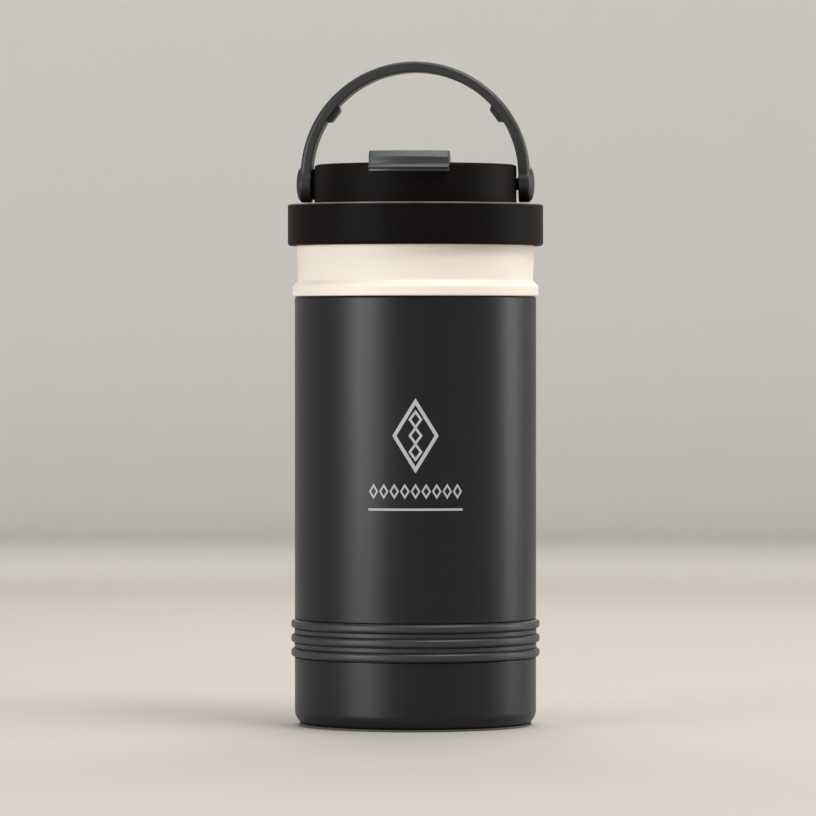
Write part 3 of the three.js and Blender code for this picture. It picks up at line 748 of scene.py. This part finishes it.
# ---- Flip cover -----------------------------------------------------------------------------------
# A grey moulded cover over the drink hole. Its thumb tab stands up at the front, dished for the thumb,
# with a ledge and a lower lip that hang over the drum; it turns on a steel pin between two ears.
flap_grey = finish("flap_grey", "2f3032", 0.38, grain=2200, depth=0.02, mottle=0.18, smudge=0.1)
flap_low, flap_high = span("drink_flap")
pin_low, pin_high = span("flap_hinge_pin")
tab_half = flap_high.x
plate_half = 11.6
plate_low = 176.5
plate_high = 178.7
knuckle_half = 8.2
KNUCKLE_R = 1.7
KNUCKLE_BORE = 1.1
hinge_y = (pin_low.y + pin_high.y) / 2
hinge_z = (pin_low.z + pin_high.z) / 2


def tab():
    """The tab's outline carried round the drum's curve, cut square at both sides with eased ends."""
    low, top = flap_low.z, flap_high.z
    underside = [(26, plate_low, 0.1), (32.15, plate_low, 0.2), (32.2, low, 0.15), (33.5, low, 0.3)]
    lip = [(33.5, low + 0.78, 0.12), (33.05, low + 0.95, 0.06), (33.1, low + 1.15, 0.05)]
    ledge = [(34.15, low + 1.22, 0.12), (34.1, low + 1.4, 0.1), (33.25, low + 2.15, 0.1)]
    dish = [(32.5, low + 2.3, 0.12), (32.35, low + 3.2, 0.8), (32.6, low + 4.6, 0.4)]
    crest = [(30.8, top, 0.8), (29.6, top, 0.6), (27.8, plate_high, 0.8), (26, plate_high, 0.1)]
    outline = rounded(underside + lip + ledge + dish + crest, steps=4)
    centre = complex(30.5, (plate_low + plate_high) / 2)
    ends = [(1.0, 0.22), (0.994, 0.08), (0.98, 0.0)]
    columns = ends + [(1 - k / 14, 0.0) for k in range(1, 28)]
    columns += [(-share, inset) for share, inset in reversed(ends)]
    verts, faces = [], []
    for share, inset in columns:
        for p in outline:
            q = p + (centre - p) / abs(centre - p) * inset
            angle = -share * math.asin(tab_half / q.real)
            verts.append((-q.real * math.sin(angle), -q.real * math.cos(angle), q.imag))
    size = len(outline)
    for k in range(len(columns) - 1):
        for s in range(size):
            low, high = k * size, (k + 1) * size
            faces.append([low + s, high + s, high + (s + 1) % size, low + (s + 1) % size])
    faces += [list(range(size)), list(range(len(verts) - size, len(verts)))[::-1]]
    return solid("drink_flap_moulded", verts, faces)


def slab(name, half_x, y_min, y_max, z_min, z_max, edge):
    """A plate with rounded long edges across X and a square end at each side."""
    section = rounded([
        (y_min, z_min, edge), (y_max, z_min, edge), (y_max, z_max, edge), (y_min, z_max, edge),
    ])
    verts = [(side * half_x, p.real, p.imag) for side in (-1, 1) for p in section]
    size = len(section)
    faces = [[s, s + size, (s + 1) % size + size, (s + 1) % size] for s in range(size)]
    faces += [list(range(size)), list(range(size, 2 * size))[::-1]]
    faces = [face[::-1] for face in faces]
    return solid(name, verts, faces)


plate = slab("plate", plate_half, -28, hinge_y - 2.6, plate_low, plate_high, 0.5)
arm = slab("arm", knuckle_half, hinge_y - 4, hinge_y - 1.2, plate_low + 0.01, plate_high - 0.01, 0.3)
knuckle = turned("knuckle", rounded([
    (KNUCKLE_BORE, -knuckle_half, 0), (KNUCKLE_R, -knuckle_half, 0.25),
    (KNUCKLE_R, knuckle_half, 0.25), (KNUCKLE_BORE, knuckle_half, 0),
]), 48, across(1, hinge_z, hinge_y))
gate_outline = rounded([(0, 0, 0), (0.35, 0, 0.05), (0.35, 0.6, 0.12), (0, 0.6, 0)], steps=3)
gate_place = Matrix.Translation((-2.4, -33, flap_low.z + 0.42)) @ Matrix.Rotation(math.pi / 2, 4, "X")
gate_mark = turned("gate_mark", gate_outline, 16, gate_place)
drink_flap = merge(tab(), plate, arm, knuckle, gate_mark)
fit(drink_flap, "flap", "flap_grey", flap_grey, "drink_flap")

# ---- Stoppers and hinge pin -----------------------------------------------------------------------
# Two soft silicone plugs under the cover close the drink hole and the vent, each with a broad head that
# seals on the deck and a narrower end that enters its hole. The pin is bright steel wire.
STOPPER_POINTS = 64  # points round a stopper


def stopper(node, layers):
    """A stopper with half-round ends from (half length, radius, height above its foot) layers."""
    low, high = span(node)
    middle_x, middle_y = (low.x + high.x) / 2, (low.y + high.y) / 2
    verts = []
    for half_length, radius, rise in layers:
        for k in range(STOPPER_POINTS):
            angle = math.tau * (k + 0.5) / STOPPER_POINTS
            straight = math.copysign(half_length - radius, math.cos(angle))
            x = middle_x + straight + radius * math.cos(angle)
            verts.append((x, middle_y + radius * math.sin(angle), low.z + rise))
    last = len(verts) - STOPPER_POINTS
    faces = [list(range(STOPPER_POINTS))[::-1], list(range(last, len(verts)))]
    for ring in range(0, last, STOPPER_POINTS):
        for k in range(STOPPER_POINTS):
            here, after = ring + k, ring + (k + 1) % STOPPER_POINTS
            faces.append([here, after, after + STOPPER_POINTS, here + STOPPER_POINTS])
    return fit(solid(f"{node}_moulded", verts, faces), "flap", "clear_silicone", silicone_clear, node)


stopper("spout_stopper", [
    (5.0, 3.0, 0), (5.3, 3.3, 0.06), (5.5, 3.5, 0.3), (5.5, 3.5, 1.45),
    (7.2, 5.2, 1.45), (7.34, 5.34, 1.5), (7.4, 5.4, 1.62), (7.4, 5.4, 2.05),
])
stopper("vent_stopper", [
    (0.5, 0.5, 0), (0.72, 0.72, 0.08), (0.8, 0.8, 0.3), (0.8, 0.8, 1.05),
    (1.75, 1.75, 1.05), (1.86, 1.86, 1.1), (1.9, 1.9, 1.2), (1.9, 1.9, 1.65),
])
HINGE_PIN_R = 1
hinge_pin = turned("flap_hinge_pin_turned", rounded([
    (0, pin_low.x, 0), (HINGE_PIN_R, pin_low.x, 0.2), (HINGE_PIN_R, pin_high.x, 0.2), (0, pin_high.x, 0),
]), 48, across(1, hinge_z, hinge_y))
fit(hinge_pin, "lid", "bare_steel", brushed_steel, "flap_hinge_pin")

# ---- Studio ---------------------------------------------------------------------------------------
# A round pale sweep, a key softbox at the left front, a weaker strip at the right, a raised one at the
# right front, and broad soft lights overhead and behind. The camera is level with the upper shell.
CAMERA_AZIMUTH = math.radians(3.9)
CAMERA_DISTANCE = 1.8
CAMERA_HEIGHT = 0.122
CAMERA_AIM = 0.0997  # height on the flask's axis that the middle of the frame shows
CAMERA_TILT = math.atan((CAMERA_HEIGHT - CAMERA_AIM) / CAMERA_DISTANCE)
CAMERA_TURN = math.radians(0.075)  # sets the flask a hair off the frame's middle
FRAME_WIDTH = 0.257  # what the frame takes in across the flask

# The sweep's edge curves up into a low wall. Its paper grows paler outwards, where less light falls.
SWEEP_R = 2100
SWEEP_HIGH = 700
SWEEP_THICK = 20
SWEEP_CURVE = 400
floor = turned("studio_sweep", rounded([
    (0, -SWEEP_THICK, 0), (SWEEP_R + SWEEP_THICK, -SWEEP_THICK, 0), (SWEEP_R + SWEEP_THICK, SWEEP_HIGH, 0),
    (SWEEP_R, SWEEP_HIGH, 0), (SWEEP_R, 0, SWEEP_CURVE), (0, 0, 0),
], steps=16))
sweep_paper = finish("sweep_paper", "a5a09a", 0.8, grain=900, depth=0.01, mottle=0.03, smudge=0.05)
paper_tree = sweep_paper.node_tree
paper_base = paper_tree.nodes["Principled BSDF"].inputs["Base Color"]
outwards = place(paper_tree, "ShaderNodeVectorMath", {
    0: place(paper_tree, "ShaderNodeTexCoord").outputs["Object"],
}, operation="LENGTH").outputs["Value"]
paler = place(paper_tree, "ShaderNodeMapRange", {
    "Value": outwards, "From Min": 0.9, "From Max": 1.6,
}, interpolation_type="SMOOTHSTEP").outputs[0]
paper_tone = place(paper_tree, "ShaderNodeMix", {
    "Factor": paler, 6: paper_base.links[0].from_socket, 7: linear("f0ede7"),
}, data_type="RGBA")
paper_tree.links.new(paper_tone.outputs[2], paper_base)
floor.data.materials.append(sweep_paper)


def softbox(name, azimuth, height, distance, width, tall, watts, colour):
    """An area light that faces the flask from an azimuth, 0 at the drinking side and 90 at the right."""
    light = bpy.data.lights.new(name, "AREA")
    light.shape = "RECTANGLE"
    light.size = width
    light.size_y = tall
    light.energy = watts
    light.color = colour
    lamp = bpy.data.objects.new(name, light)
    angle = math.radians(azimuth)
    lamp.location = (distance * math.sin(angle), -distance * math.cos(angle), height)
    lamp.rotation_euler = (Vector((0, 0, 0.1)) - lamp.location).to_track_quat("-Z", "Y").to_euler()
    bpy.context.scene.collection.objects.link(lamp)


softbox("key", -46, 0.2, 1.1, 0.56, 0.6, 8.9, (0.97, 0.985, 1))
softbox("fill", 106, 0.3, 1.1, 0.3, 0.8, 5, (0.96, 0.98, 1))
softbox("front", 52, 1.25, 0.85, 0.8, 0.6, 15, (1, 0.985, 0.97))
softbox("top", 0, 1.5, 0.1, 1.3, 0.9, 12, (1, 0.99, 0.97))
softbox("back", 180, 0.85, 1.0, 1.2, 0.4, 11, (1, 0.97, 0.93))

world = bpy.data.worlds.new("studio")
world.use_nodes = True
world.node_tree.nodes["Background"].inputs["Color"].default_value = (0.9, 0.93, 1.0, 1)
world.node_tree.nodes["Background"].inputs["Strength"].default_value = 0.16
bpy.context.scene.world = world
bpy.context.scene.view_settings.view_transform = "Standard"

lens = bpy.data.cameras.new("camera")
lens.sensor_width = 36
lens.lens = lens.sensor_width * CAMERA_DISTANCE / FRAME_WIDTH
lens.clip_end = 20
camera = bpy.data.objects.new("camera", lens)
camera.location = (
    CAMERA_DISTANCE * math.sin(CAMERA_AZIMUTH), -CAMERA_DISTANCE * math.cos(CAMERA_AZIMUTH), CAMERA_HEIGHT,
)
camera.rotation_euler = (math.pi / 2 - CAMERA_TILT, 0, CAMERA_AZIMUTH + CAMERA_TURN)
bpy.context.scene.collection.objects.link(camera)
bpy.context.scene.camera = camera
